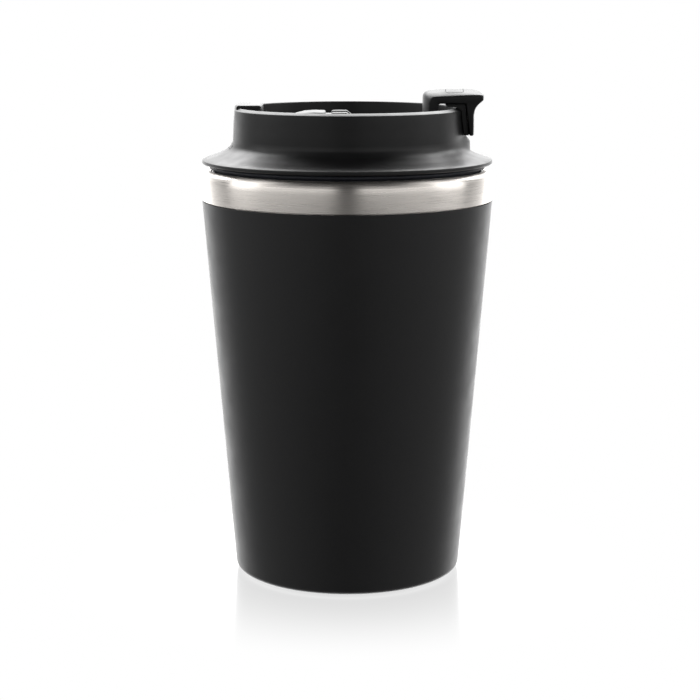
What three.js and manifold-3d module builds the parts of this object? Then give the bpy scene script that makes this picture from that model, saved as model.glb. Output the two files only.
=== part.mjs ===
// Insulated travel mug with a push-in lid and a flip lever that covers the drinking hole.
// Millimetres, +Z up. The origin is the centre of the base, on the surface that the mug stands on.
// The lever lies along +X from the hinge in the middle of the lid, and hooks over the lid's ring wall.

import * as THREE from 'three';
import { mergeVertices } from 'three/addons/utils/BufferGeometryUtils.js';
import Module from 'manifold-3d';

const wasm = await Module();
wasm.setup();

// ---- Driving dimensions ------------------------------------------------------------------------

const SIDES = 36; // segments of every turned piece, so that nested pieces keep their gaps
const SMALL_SIDES = 16;
const GAP = 0.3; // assembly gap between touching pieces
const BIG = 200;

const TAPER_BASE_R = 33.44; // outer radius of the body, carried down to z = 0
const TAPER = 0.0811; // growth of that radius per millimetre of height
const BAND_BOTTOM_Z = 111.3;
const BAND_TOP_Z = 120.2;
const STEEL = 0.6; // sheet thickness of both walls
const MOUTH_R = 39.0;
const LINER_FLOOR_Z = 8.0;
const LINER_FLOOR_R = 30.0;

const FLANGE_R = 42.3;
const FLANGE_UNDER_Z = 121.8;
const DECK_Z = 127.0; // floor of the basin in the lid
const DECK_UNDER_Z = 124.9;
const RING_OUTER_R = 33.5;
const RING_INNER_R = 31.3;
const RING_TOP_Z = 138.0;
const PLUG_FLOOR_Z = 109.6;
const PLUG_WALL = 1.6;

const PIVOT_X = -2.3;
const PIVOT_Z = 134.2;
const PIN_R = 1.1;
const PIN_PLAY = 0.12;
const TONGUE_HALF_Y = 3.0;
const SWING_R = 4.45; // room that the lever's knuckle needs round the pin

const LEVER_HALF_Y = 7.0;
const LEVER_CROWN = 1.65; // how much lower the lever's skin is at its edges than along its middle
const ARM_UNDER_Z = 130.0;
const HOOK_TOP_Z = 143.2;
const HOOK_UNDER_Z = 139.2;
const HOOK_LEG_X = 21.85;
const HOOK_MOUTH_X = [26.25, 34.15]; // inner faces of the leg and of the tab, under the hook's plate
const TAB_OUTER_X = 36.9;
const TAB_TIP_X = 35.25; // inner face of the tab at its tip
const TAB_TIP_Z = 130.05;
const LIP_X = 39.6;
const INSERT_X = [28.45, 33.45];
const INSERT_HALF_Y = 5.0;
const FOOT_X = 28.8; // the insert's foot under the plate starts here, and its lining runs down the tab
const LINING_HALF_Y = 5.6;
const LINING_GAP = 0.25; // between the lining and its neighbours

const SPOUT = { x: 22.0, halfX: 3.4, halfY: 5.5 };
const VENT = { x: 9.3, r: 2.0 };
const CHUTE_WALL = 1.4;
const CHUTE_TOP_Z = 123.3;

const REST_TOP_Z = 138.8;
const REST_HALF_Y = 7.5;
const REST_INNER_X = -24.7;

// ---- Materials ---------------------------------------------------------------------------------

const material = (color, roughness, metalness) =>
  new THREE.MeshStandardMaterial({ color, roughness, metalness });
const coating = material(0x17181a, 0.5, 0.1);
const brushed = material(0xc9c1b8, 0.35, 1);
const drawnSteel = material(0xb9b7b3, 0.3, 1);
const moulded = material(0x18191a, 0.45, 0);
const silicone = material(0x1a1c20, 0.7, 0);
const getterMetal = material(0x8d8d90, 0.4, 1);
const solderGlass = material(0x5a4a3a, 0.4, 0);

// ---- Solids and meshes -------------------------------------------------------------------------

function signedVolume(position, index) {
  const [a, b, c] = [new THREE.Vector3(), new THREE.Vector3(), new THREE.Vector3()];
  let volume = 0;
  for (let i = 0; i < index.length; i += 3) {
    a.fromBufferAttribute(position, index[i]);
    b.fromBufferAttribute(position, index[i + 1]);
    c.fromBufferAttribute(position, index[i + 2]);
    volume += a.dot(b.cross(c));
  }
  return volume;
}

function toSolid(geometry) {
  const bare = new THREE.BufferGeometry();
  bare.setAttribute('position', geometry.getAttribute('position').clone());
  if (geometry.index) bare.setIndex(geometry.index.clone());
  const welded = mergeVertices(bare, 1e-3);
  const position = welded.getAttribute('position');
  let triangles = [];
  for (let i = 0; i < welded.index.count; i += 3) {
    const corners = [0, 1, 2].map((k) => welded.index.getX(i + k));
    if (new Set(corners).size === 3) triangles.push(...corners);
  }
  if (signedVolume(position, triangles) < 0) triangles = triangles.reverse();
  const shape = {
    numProp: 3,
    vertProperties: new Float32Array(position.array),
    triVerts: new Uint32Array(triangles),
  };
  return new wasm.Manifold(new wasm.Mesh(shape));
}

function toMesh(name, solid, finish) {
  const cut = solid.getMesh();
  const geometry = new THREE.BufferGeometry();
  geometry.setAttribute('position', new THREE.BufferAttribute(cut.vertProperties, 3));
  geometry.setIndex(new THREE.BufferAttribute(cut.triVerts, 1));
  geometry.computeVertexNormals();
  const mesh = new THREE.Mesh(geometry, finish);
  mesh.name = name;
  return mesh;
}

const join = (solids) => solids.reduce((all, next) => all.add(next));
const cutAll = (solid, tools) => tools.reduce((rest, tool) => rest.subtract(tool), solid);

function lathe(outline, sides) {
  const points = outline.map(([r, z]) => new THREE.Vector2(r, z));
  return new THREE.LatheGeometry(points, sides).rotateX(Math.PI / 2);
}

// A turned piece from its [radius, z] outline, which starts and ends on the axis.
function turned(outline, sides = SIDES) {
  return toSolid(lathe(outline, sides));
}

// A turned ring, whose outline closes on itself.
const turnedRing = (outline, sides = SIDES) => turned([...outline, outline[0]], sides);

// A right prism from a plan outline in X and Y, between two heights.
function prism(shape, z0, z1, curveSegments = 6) {
  const options = { depth: z1 - z0, bevelEnabled: false, curveSegments };
  return toSolid(new THREE.ExtrudeGeometry(shape, options).translate(0, 0, z0));
}

// A side outline in X and Z, extruded along Y between -halfY and halfY.
function slab(outline, halfY) {
  const shape = new THREE.Shape(outline.map(([x, z]) => new THREE.Vector2(x, z)));
  const options = { depth: 2 * halfY, bevelEnabled: false };
  const geometry = new THREE.ExtrudeGeometry(shape, options).rotateX(Math.PI / 2);
  return toSolid(geometry.translate(0, halfY, 0));
}

function block([x0, x1], [y0, y1], [z0, z1]) {
  const geometry = new THREE.BoxGeometry(x1 - x0, y1 - y0, z1 - z0);
  return toSolid(geometry.translate((x0 + x1) / 2, (y0 + y1) / 2, (z0 + z1) / 2));
}

function roundedPlan(x, halfX, halfY, corner) {
  const shape = new THREE.Shape();
  const r = Math.min(corner, halfX, halfY);
  shape.moveTo(x + halfX, -halfY + r);
  shape.lineTo(x + halfX, halfY - r);
  shape.absarc(x + halfX - r, halfY - r, r, 0, Math.PI / 2);
  shape.absarc(x - halfX + r, halfY - r, r, Math.PI / 2, Math.PI);
  shape.absarc(x - halfX + r, -halfY + r, r, Math.PI, 1.5 * Math.PI);
  shape.absarc(x + halfX - r, -halfY + r, r, 1.5 * Math.PI, 2 * Math.PI);
  return shape;
}

const spoutPlan = (grow) =>
  roundedPlan(SPOUT.x, SPOUT.halfX + grow, SPOUT.halfY + grow, SPOUT.halfX + grow);

// A round post along Z.
function post(x, r, z0, z1) {
  return turned([[0, z0], [r, z0], [r, z1], [0, z1]], SMALL_SIDES).translate([x, 0, 0]);
}

// A round bar along Y, through the pivot.
function pivotBar(r, halfY) {
  const geometry = new THREE.CylinderGeometry(r, r, 2 * halfY, SMALL_SIDES);
  return toSolid(geometry.translate(PIVOT_X, 0, PIVOT_Z));
}

// Points on an arc, with angles in degrees.
function arc(x, z, r, from, to, steps) {
  return Array.from({ length: steps + 1 }, (_, i) => {
    const angle = THREE.MathUtils.degToRad(from + ((to - from) * i) / steps);
    return [x + r * Math.cos(angle), z + r * Math.sin(angle)];
  });
}

// ---- Cup ---------------------------------------------------------------------------------------

const bodyR = (z) => TAPER_BASE_R + TAPER * z;
const linerR = (z) =>
  LINER_FLOOR_R + ((MOUTH_R - LINER_FLOOR_R) * (z - LINER_FLOOR_Z)) / (108 - LINER_FLOOR_Z);

function outerShell() {
  const top = BAND_BOTTOM_Z - GAP / 2;
  const edge = 1.8; // radius of the base edge
  const bottom = 0.5;
  const lipR = 30.6;
  const edgeR = bodyR(bottom + edge) - edge;
  return turnedRing([
    [lipR, bottom],
    ...arc(edgeR, bottom + edge, edge, -90, 0, 4),
    [bodyR(60), 60],
    [bodyR(top), top],
    [bodyR(top) - STEEL, top],
    [bodyR(60) - STEEL, 60],
    ...arc(edgeR, bottom + edge, edge - STEEL, 0, -90, 4),
    [lipR, bottom + STEEL],
  ]);
}

// Plate welded inside the shell, dished at the middle for the vacuum port.
function shellBottom() {
  const z = 3.0;
  const rimR = bodyR(z) - STEEL - GAP;
  const plate = turned([
    [0, z + 0.8],
    [4, z + 0.8],
    [5, z],
    [rimR - 1, z],
    [rimR, z + 1],
    [rimR + 0.1, z + 4],
    [rimR + 0.1 - STEEL, z + 4],
    [rimR - STEEL, z + 1.2],
    [rimR - 1.2, z + STEEL],
    [5.2, z + STEEL],
    [4.2, z + 0.8 + STEEL],
    [0, z + 0.8 + STEEL],
  ]);
  return plate.subtract(post(0, 1, 0, 10));
}

// Bead that closes the port once the air between the walls has been pumped out.
const portPlug = () =>
  turned([[0, 2.9], [2.6, 2.9], [2.9, 3.2], [2.6, 3.5], [0.7, 3.5], [0.6, 4.6], [0, 4.6]], SMALL_SIDES);

// Pill on the bottom plate that takes up the last gas in the vacuum.
const getter = () => post(16, 4, 3.0 + STEEL + GAP, 5.6);

function baseCap() {
  const [rimR, padR] = [30.3, 28.4];
  return turned([
    [0, 1.5],
    [padR, 1.5],
    [padR, 0.7],
    [rimR - 0.4, 0.7],
    [rimR, 1.1],
    [rimR, 2.6],
    [0, 2.6],
  ]);
}

// Non-slip pad: only its outer ring touches the table.
function basePad() {
  const r = 28.1;
  return turned([[0, 0.4], [17, 0.4], [17.6, 0], [r - 0.5, 0], [r, 0.4], [r, 1.2], [0, 1.2]]);
}

function rimBand() {
  const tongueR = bodyR(107) - STEEL - GAP;
  const bottom = BAND_BOTTOM_Z + GAP / 2;
  const top = BAND_TOP_Z;
  return turnedRing([
    [tongueR, 107],
    [tongueR + 0.3, bottom],
    [bodyR(bottom), bottom],
    [42.75, 116.5],
    [42.7, 118.2],
    [42.3, 119.2],
    [41.6, 119.9],
    [40.9, top],
    [40.3, top - 0.1],
    [39.9, top - 0.6],
    [39.9, 112],
    [tongueR - STEEL, 111],
    [tongueR - STEEL, 107],
  ]);
}

function innerLiner() {
  const corner = 8;
  const floorCentreR = linerR(LINER_FLOOR_Z + corner) - corner;
  const top = BAND_TOP_Z - 0.5;
  return turned([
    [0, LINER_FLOOR_Z],
    ...arc(floorCentreR, LINER_FLOOR_Z + corner, corner, -90, 0, 5),
    [linerR(60), 60],
    [MOUTH_R, 108],
    [MOUTH_R, top],
    [MOUTH_R + STEEL, top],
    [MOUTH_R + STEEL, 108],
    [linerR(60) + STEEL, 60],
    ...arc(floorCentreR, LINER_FLOOR_Z + corner, corner + STEEL, 0, -90, 5),
    [0, LINER_FLOOR_Z - STEEL],
  ]);
}

// ---- Lid ---------------------------------------------------------------------------------------

// Rest block for the lever: it stands on the deck and fills a gap in the ring wall, with a small toe outside.
// With a gap it is the tool for its own notch, which is open on the outside.
function restSolid(gap) {
  const deck = DECK_Z + GAP - gap;
  const top = REST_TOP_Z + gap;
  const outside = 10 * gap;
  const turnedBlock = turned([
    [0, deck],
    [RING_INNER_R + 0.6 - gap, deck],
    [RING_INNER_R + 0.6 - gap, 126.4 - gap],
    [34.45 + gap, 126.4 - gap],
    [33.95 + gap, 127.2],
    [33.35 + gap, 128.2],
    [33.2 + outside, 131.4],
    [33.0 + outside, 134.8],
    [32.75 + outside, 137.0],
    [32.4 + outside, top - 0.5],
    [31.8 + outside, top],
    [0, top],
  ]);
  const length = 40 + REST_INNER_X;
  const middle = (REST_INNER_X - 40) / 2;
  const plan = roundedPlan(middle, length / 2 + gap, REST_HALF_Y + gap, 1.2);
  return turnedBlock.intersect(prism(plan, 120, 145));
}

// Swells the wall and the cove at +X, under the lever's tab: a low shelf, and above it a slight flare.
function swell(geometry) {
  const position = geometry.getAttribute('position');
  const { smoothstep, radToDeg } = THREE.MathUtils;
  const [shelfR, flare, spread] = [35.85, 0.14, 12];
  for (let i = 0; i < position.count; i++) {
    const [x, y, z] = [position.getX(i), position.getY(i), position.getZ(i)];
    const r = Math.hypot(x, y);
    if (r < 33 || z < 125 || z > 137) continue;
    const above = smoothstep(z, 128.9, 129.9);
    const rise = (1 - above) * Math.max(0, shelfR - r) + above * flare * (137 - z);
    const share = (rise / r) * Math.exp(-((radToDeg(Math.atan2(y, x)) / spread) ** 2));
    position.setXY(i, x * (1 + share), y * (1 + share));
  }
  return geometry;
}

// Outside of the ring wall and its sloping top edge, with a gap.
const wallOutside = (gap) => [
  [33.55 + gap, 130.0],
  [RING_OUTER_R + gap, 131.5],
  [33.3 + gap, 134.8],
  [33.25 + gap, 136.9 + gap],
  [33.05 + gap, 137.2 + gap],
  [31.9 + gap, 137.85 + gap],
  [31.6, RING_TOP_Z + gap],
];

function lidCover() {
  const outline = [
    [0, DECK_UNDER_Z],
    [28, DECK_UNDER_Z],
    [31, 124.5],
    [34, 123.8],
    [38.1, CHUTE_TOP_Z],
    [38.3, FLANGE_UNDER_Z],
    [41.9, FLANGE_UNDER_Z],
    [FLANGE_R, 122.1],
    [FLANGE_R, 123.3],
    [41.3, 123.75],
    [38.2, 124.45],
    [36.1, 125.35],
    [35.0, 126.0],
    [34.2, 126.75],
    [33.75, 127.6],
    [33.6, 128.8],
    ...wallOutside(0),
    [RING_INNER_R, 137.6],
    [RING_INNER_R - 0.2, 130],
    [30.6, 128],
    [28.8, DECK_Z],
    [0, DECK_Z],
  ];
  const holes = [prism(spoutPlan(0), 120, 130), post(VENT.x, VENT.r, 120, 130), restSolid(GAP)];
  return cutAll(toSolid(swell(lathe(outline, SIDES))), holes);
}

// Lower half of the lid: a hollow plug, with a chute and a vent tube that pass the air space.
function lidPlug() {
  const top = CHUTE_TOP_Z - GAP;
  const floor = PLUG_FLOOR_Z + PLUG_WALL;
  const [skirtR, grooveR] = [37.7, 36.6];
  const tub = turned([
    [0, PLUG_FLOOR_Z],
    [skirtR - 1, PLUG_FLOOR_Z],
    [skirtR, PLUG_FLOOR_Z + 1],
    [skirtR, 113.2],
    [grooveR, 113.2],
    [grooveR, 119.9],
    [skirtR, 119.9],
    [skirtR, top],
    [34.8, top],
    [34.8, floor],
    [0, floor],
  ]);
  const tubes = [
    prism(spoutPlan(CHUTE_WALL), PLUG_FLOOR_Z + 0.5, CHUTE_TOP_Z),
    post(VENT.x, VENT.r + CHUTE_WALL, PLUG_FLOOR_Z + 0.5, CHUTE_TOP_Z),
  ];
  const bores = [prism(spoutPlan(0), 100, 130), post(VENT.x, VENT.r, 100, 130)];
  return cutAll(join([tub, ...tubes]), bores);
}

// Wiper gasket in the plug's groove, with two lips towards the liner.
function lidGasket() {
  const [innerR, sleeveR, lipR] = [36.9, 37.8, MOUTH_R - GAP];
  const lip = (z) => [[sleeveR, z], [lipR, z + 0.9], [lipR, z + 1.2], [sleeveR, z + 1.1]];
  return turnedRing([[innerR, 113.5], ...lip(114), ...lip(116.8), [sleeveR, 119.6], [innerR, 119.6]]);
}

// Soft collar between the flange and the top of the steel band.
function rimSeal() {
  const z = BAND_TOP_Z + GAP;
  return turnedRing([
    [38.0, 119.6],
    [38.6, 119.6],
    [38.7, z],
    [39.9, z],
    [40.3, z + 0.4],
    [40.1, z + 1],
    [38.0, z + 1],
  ]);
}

function chuteSeal(outer, inner) {
  return outer(CHUTE_TOP_Z + GAP, DECK_UNDER_Z - GAP).subtract(inner(120, 130));
}

const spoutSeal = () =>
  chuteSeal(
    (z0, z1) => prism(spoutPlan(CHUTE_WALL), z0, z1),
    (z0, z1) => prism(spoutPlan(0.2), z0, z1),
  );

const ventSeal = () =>
  chuteSeal(
    (z0, z1) => post(VENT.x, VENT.r + CHUTE_WALL, z0, z1),
    (z0, z1) => post(VENT.x, VENT.r + 0.2, z0, z1),
  );

// Hump behind the hinge, with a tongue that reaches between the lever's two ears.
function hingeBracket() {
  const foot = DECK_Z + GAP;
  const hump = slab(
    [
      [-17.0, foot],
      [-6.3, foot],
      [-6.3, 136.1],
      [-6.7, 136.5],
      [-9.5, 136.75],
      [-12.5, 136.55],
      [-15.0, 135.9],
      [-16.4, 134.6],
      [-17.0, 132.8],
    ],
    LEVER_HALF_Y - 0.2,
  );
  const tongue = slab(
    [
      [-8, PIVOT_Z - 1.9],
      ...arc(PIVOT_X, PIVOT_Z, 1.9, -90, 67, 7),
      [-8, PIVOT_Z + 1.75],
    ],
    TONGUE_HALF_Y,
  );
  const carved = hump.subtract(pivotBar(SWING_R, LEVER_HALF_Y));
  return carved.add(tongue).subtract(pivotBar(PIN_R + PIN_PLAY, LEVER_HALF_Y));
}

const hingePin = () => pivotBar(PIN_R, LEVER_HALF_Y - 0.5);

// ---- Lever -------------------------------------------------------------------------------------

const crownDrop = (y) => LEVER_CROWN * (y / LEVER_HALF_Y) ** 2;

// Height of the hook's skin: its ridge falls away towards the lip, and its side edges rise straight.
function hookSkin(x, y) {
  const [rearX, crestX] = [24.4, 31.5];
  const [rearFall, lipFall] = [0.35, 1.7];
  const [edgeZ, edgeSlope, edgeEndX] = [141.08, 0.053, 36.7];
  const towardsRear = (crestX - x) / (crestX - rearX);
  const towardsLip = (x - crestX) / (LIP_X - crestX);
  const ridge = HOOK_TOP_Z - (x < crestX ? rearFall * towardsRear ** 2 : lipFall * towardsLip ** 4);
  const edge = edgeZ + edgeSlope * (Math.min(x, edgeEndX) - rearX);
  return ridge + (edge - ridge) * (y / LEVER_HALF_Y) ** 2;
}

// Side outline of the lever at one distance from its middle plane. The skin is lower towards the edges.
function leverOutline(y) {
  const drop = crownDrop(y);
  const legX = HOOK_LEG_X + drop;
  const side = 0.35 * drop;
  const lipX = LIP_X - side;
  const tabX = TAB_OUTER_X - side;
  const armZ = 133 - side;
  const legR = 1.5;
  const skin = [27, 29, 31.5, 34, 36, 37.6, 38.7].map((x) => [x - side, hookSkin(x - side, y)]);
  return [
    [-4.8, 135.8],
    [-4.3, 136.5],
    [-3.6, 136.7],
    [-0.3, 136.7],
    [0.1, 136.5],
    [1.3, 135.4],
    [1.75, 134.4],
    [2.2, armZ + 0.2],
    [4.0, armZ],
    [19.6, armZ - 0.3],
    [legX - 0.6, armZ + 0.3],
    [legX, armZ + 1.5],
    ...arc(legX + legR, hookSkin(legX + legR, y) - legR, legR, 180, 90, 3),
    ...skin,
    [lipX - 0.1, 141.45],
    [lipX, 141.2],
    [lipX, 140.4],
    [lipX - 0.3, 140.1],
    [lipX - 1.5, 138.9],
    [tabX + 0.35, 137.6],
    [tabX, 136.2],
    [tabX, TAB_TIP_Z + 0.45],
    [tabX - 0.4, TAB_TIP_Z],
    [TAB_TIP_X + 0.25, TAB_TIP_Z],
    [TAB_TIP_X, TAB_TIP_Z + 0.3],
    [HOOK_MOUTH_X[1], HOOK_UNDER_Z],
    [HOOK_MOUTH_X[0], HOOK_UNDER_Z],
    [HOOK_MOUTH_X[0], 130.6],
    [HOOK_MOUTH_X[0] - 0.6, ARM_UNDER_Z],
    [3.0, ARM_UNDER_Z],
    [0.2, 130.3],
    [-2.6, 130.8],
    [-4.2, 131.7],
    [-4.8, 133.0],
  ];
}

// A closed body through the side outlines at several distances along Y.
function loft(outlineAt, stations) {
  const counterclockwise = (y) => {
    const outline = outlineAt(y).map(([x, z]) => new THREE.Vector2(x, z));
    return THREE.ShapeUtils.isClockWise(outline) ? outline.reverse() : outline;
  };
  const rings = stations.map((y) => counterclockwise(y).map((point) => [point.x, y, point.y]));
  const count = rings[0].length;
  const index = [];
  for (let s = 0; s + 1 < rings.length; s++) {
    for (let i = 0; i < count; i++) {
      const j = (i + 1) % count;
      const [a, b] = [s * count, (s + 1) * count];
      index.push(a + i, a + j, b + j, a + i, b + j, b + i);
    }
  }
  const cap = (station) => THREE.ShapeUtils.triangulateShape(counterclockwise(stations[station]), []);
  const last = (stations.length - 1) * count;
  for (const [a, b, c] of cap(0)) index.push(c, b, a);
  for (const [a, b, c] of cap(stations.length - 1)) index.push(last + a, last + b, last + c);
  const geometry = new THREE.BufferGeometry();
  geometry.setAttribute('position', new THREE.Float32BufferAttribute(rings.flat(2), 3));
  geometry.setIndex(index);
  return toSolid(geometry);
}

const STATIONS = [-7, -5.5, -3.5, 0, 3.5, 5.5, 7];

function leverArm() {
  const [x0, x1] = INSERT_X;
  const insertHole = roundedPlan((x0 + x1) / 2, (x1 - x0) / 2 + GAP, INSERT_HALF_Y + GAP, 1.3);
  return cutAll(loft(leverOutline, STATIONS), [
    block([-10, 2.3], [-TONGUE_HALF_Y - GAP, TONGUE_HALF_Y + GAP], [120, 145]),
    pivotBar(PIN_R + PIN_PLAY, BIG),
    prism(insertHole, HOOK_UNDER_Z - 1, 150),
    post(SPOUT.x, 1.5 + GAP, 120, 132),
    post(VENT.x, 1.0 + GAP, 120, 131.9),
  ]);
}

// Soft piece of the hook: head on top, foot on the ring wall, and a lining that runs down the tab.
function hookInsert() {
  const [x0, x1] = INSERT_X;
  const footZ = RING_TOP_Z + GAP;
  const footTop = HOOK_UNDER_Z - GAP;
  const headPlan = roundedPlan((x0 + x1) / 2, (x1 - x0) / 2, INSERT_HALF_Y, 1);
  const under = (y) => {
    const skin = [x0 - 2, (x0 + x1) / 2, x1 + 2].map((x) => [x, hookSkin(x, y) - 0.05]);
    return [...skin, [x1 + 2, 130], [x0 - 2, 130]];
  };
  const head = prism(headPlan, footZ + 0.2, 150).intersect(loft(under, STATIONS));
  const foot = slab(
    [
      [FOOT_X, footZ],
      [31.6, footZ],
      [33.0, TAB_TIP_Z],
      [TAB_TIP_X - LINING_GAP, TAB_TIP_Z],
      [HOOK_MOUTH_X[1] - LINING_GAP, footTop],
      [FOOT_X, footTop],
    ],
    LINING_HALF_Y,
  );
  const wall = wallOutside(LINING_GAP);
  const ring = [[30, 126], [wall[0][0], 126], ...wall, [30, RING_TOP_Z + LINING_GAP]];
  const ringTool = toSolid(swell(lathe([...ring, ring[0]], SIDES)));
  return head.add(foot.subtract(ringTool));
}

function spoutPlug() {
  const flange = prism(roundedPlan(SPOUT.x, 4.2, 6.2, 4), DECK_Z + GAP, ARM_UNDER_Z - GAP);
  const levels = [[-0.6, DECK_Z + 0.5], [-0.8, 126.2], [-1.3, 125.3]];
  const steps = levels.slice(1).map(([grow, z], i) => prism(spoutPlan(grow), z, levels[i][1] + 0.01));
  return join([flange, ...steps, post(SPOUT.x, 1.5, ARM_UNDER_Z - 1, 131.7)]);
}

function ventPlug() {
  const flangeTop = ARM_UNDER_Z - GAP;
  return turned(
    [
      [0, 126.2],
      [0.7, 126.2],
      [1.0, 126.5],
      [1.1, DECK_Z + GAP],
      [2.6, DECK_Z + GAP],
      [2.8, flangeTop],
      [1.0, flangeTop],
      [1.0, 131.6],
      [0, 131.6],
    ],
    SMALL_SIDES,
  ).translate([VENT.x, 0, 0]);
}

// ---- Assembly ----------------------------------------------------------------------------------

const cup = new THREE.Group();
cup.add(
  toMesh('outer_shell', outerShell(), coating),
  toMesh('shell_bottom', shellBottom(), drawnSteel),
  toMesh('vacuum_port_plug', portPlug(), solderGlass),
  toMesh('getter', getter(), getterMetal),
  toMesh('base_cap', baseCap(), moulded),
  toMesh('base_pad', basePad(), silicone),
  toMesh('rim_band', rimBand(), brushed),
  toMesh('inner_liner', innerLiner(), drawnSteel),
);

const lid = new THREE.Group();
lid.add(
  toMesh('lid_cover', lidCover(), moulded),
  toMesh('lid_plug', lidPlug(), moulded),
  toMesh('lid_gasket', lidGasket(), silicone),
  toMesh('rim_seal', rimSeal(), silicone),
  toMesh('spout_seal', spoutSeal(), silicone),
  toMesh('vent_seal', ventSeal(), silicone),
  toMesh('rest_block', restSolid(0), moulded),
  toMesh('hinge_bracket', hingeBracket(), moulded),
  toMesh('hinge_pin', hingePin(), drawnSteel),
);

const lever = new THREE.Group();
lever.add(
  toMesh('lever_arm', leverArm(), moulded),
  toMesh('hook_insert', hookInsert(), silicone),
  toMesh('spout_plug', spoutPlug(), silicone),
  toMesh('vent_plug', ventPlug(), silicone),
);

const mug = new THREE.Group();
mug.add(cup, lid, lever);

export default mug;
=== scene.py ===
"""Insulated travel mug with a flip lever lid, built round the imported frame.

Outlines are in millimetres and become metres when a mesh is made. +Z is up, and the camera looks along +Y.
"""

import math

import bpy
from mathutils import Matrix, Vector


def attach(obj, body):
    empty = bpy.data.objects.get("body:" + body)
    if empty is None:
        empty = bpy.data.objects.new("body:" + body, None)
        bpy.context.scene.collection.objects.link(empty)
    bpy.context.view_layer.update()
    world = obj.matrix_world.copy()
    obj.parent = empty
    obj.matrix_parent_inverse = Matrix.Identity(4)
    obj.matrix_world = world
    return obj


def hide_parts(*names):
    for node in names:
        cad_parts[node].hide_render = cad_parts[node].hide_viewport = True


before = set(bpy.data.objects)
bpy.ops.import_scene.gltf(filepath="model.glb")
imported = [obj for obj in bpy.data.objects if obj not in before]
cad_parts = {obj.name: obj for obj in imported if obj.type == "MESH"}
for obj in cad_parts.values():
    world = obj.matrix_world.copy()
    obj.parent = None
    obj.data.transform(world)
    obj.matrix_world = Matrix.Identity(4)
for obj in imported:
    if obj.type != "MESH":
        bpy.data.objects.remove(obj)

MM = 0.001
TURNS = 192  # segments of a large turned piece
SMALL_TURNS = 48
SHARP_ANGLE = math.radians(32)
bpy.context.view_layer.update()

# ---- Dimensions shared with the CAD, in millimetres ---------------------------------------------

GAP = 0.3
STEEL = 0.6
TAPER_BASE_R = 33.44
TAPER = 0.0811
BAND_BOTTOM_Z = 111.3
BAND_TOP_Z = 120.2
MOUTH_R = 39.0
LINER_FLOOR_Z = 8.0
LINER_FLOOR_R = 30.0
LINER_STRAIGHT_Z = 108  # the liner's wall tapers up to this height, and is vertical above it
DECK_Z = 127.0
DECK_UNDER_Z = 124.9
RING_OUTER_R = 33.5
RING_INNER_R = 31.3
RING_TOP_Z = 138.0
FLANGE_UNDER_Z = 121.8
PLUG_FLOOR_Z = 109.6
PLUG_WALL = 1.6
CHUTE_WALL = 1.4
CHUTE_TOP_Z = 123.3
PIVOT = (-2.3, 134.2)
PIN_R = 1.1
PIN_PLAY = 0.12
TONGUE_HALF_Y = 3.0
SWING_R = 4.45
LEVER_HALF_Y = 7.0
LEVER_CROWN = 1.65
ARM_UNDER_Z = 130.0
HOOK_TOP_Z = 143.2
HOOK_UNDER_Z = 139.2
HOOK_LEG_X = 21.85
HOOK_MOUTH_X = (26.25, 34.15)
TAB_OUTER_X = 36.9
TAB_TIP_X = 35.25
TAB_TIP_Z = 130.05
LIP_X = 39.6
INSERT_X = (28.45, 33.45)
INSERT_HALF_Y = 5.0
FOOT_X = 28.8
LINING_HALF_Y = 5.6
SEAM = 0.1  # gap between the hook and its insert
LINING_GAP = 0.15  # gap between the lining and the ring wall
SPOUT_X, SPOUT_HALF_X, SPOUT_HALF_Y = 22.0, 3.4, 5.5
VENT_X, VENT_R = 9.3, 2.0
REST_TOP_Z = 138.8
REST_HALF_Y = 7.5
REST_INNER_X = -24.7
REST_CORNER = 0.5


def body_r(z):
    return TAPER_BASE_R + TAPER * z


def liner_r(z):
    height = LINER_STRAIGHT_Z - LINER_FLOOR_Z
    return LINER_FLOOR_R + (MOUTH_R - LINER_FLOOR_R) * (z - LINER_FLOOR_Z) / height


# ---- Outlines -----------------------------------------------------------------------------------


def rounded(points, closed=False, steps=5):
    """The path through (u, v) or (u, v, radius) corners, with an arc at each corner that has a radius."""
    path = []
    count = len(points)
    for i, point in enumerate(points):
        corner = Vector(point[:2])
        at_end = not closed and i in (0, count - 1)
        if len(point) < 3 or at_end:
            path.append(corner)
            continue
        before = (Vector(points[i - 1][:2]) - corner).normalized()
        after = (Vector(points[(i + 1) % count][:2]) - corner).normalized()
        half = before.angle(after) / 2
        radius = point[2]
        centre = corner + (before + after).normalized() * radius / math.sin(half)
        start = corner + before * radius / math.tan(half) - centre
        end = corner + after * radius / math.tan(half) - centre
        sweep = math.pi - 2 * half
        for k in range(steps + 1):
            turn = sweep * k / steps
            path.append(centre + (start * math.sin(sweep - turn) + end * math.sin(turn)) / math.sin(sweep))
    return path


def smooth(points, per_span=4):
    """A Catmull-Rom curve through the points."""
    knots = [Vector(p) for p in points]
    knots = [2 * knots[0] - knots[1], *knots, 2 * knots[-1] - knots[-2]]
    path = []
    for a, b, c, d in zip(knots, knots[1:], knots[2:], knots[3:]):
        squared = 2 * a - 5 * b + 4 * c - d
        cubed = 3 * b - a - 3 * c + d
        for k in range(per_span):
            t = k / per_span
            path.append(0.5 * (2 * b + (c - a) * t + squared * t**2 + cubed * t**3))
    return [*path, knots[-2]]


def inset(path, amount):
    """A closed, counterclockwise path moved inwards by the amount."""
    shortest = 0.4  # keeps the mitre of a sharp corner from growing long
    moved = []
    count = len(path)
    for i, point in enumerate(path):
        along = [(path[i] - path[i - 1]).normalized(), (path[(i + 1) % count] - path[i]).normalized()]
        normals = [Vector((-d.y, d.x)) for d in along]
        mitre = (normals[0] + normals[1]) / max(shortest, 1 + normals[0].dot(normals[1]))
        moved.append(point + mitre * amount)
    return moved


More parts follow.
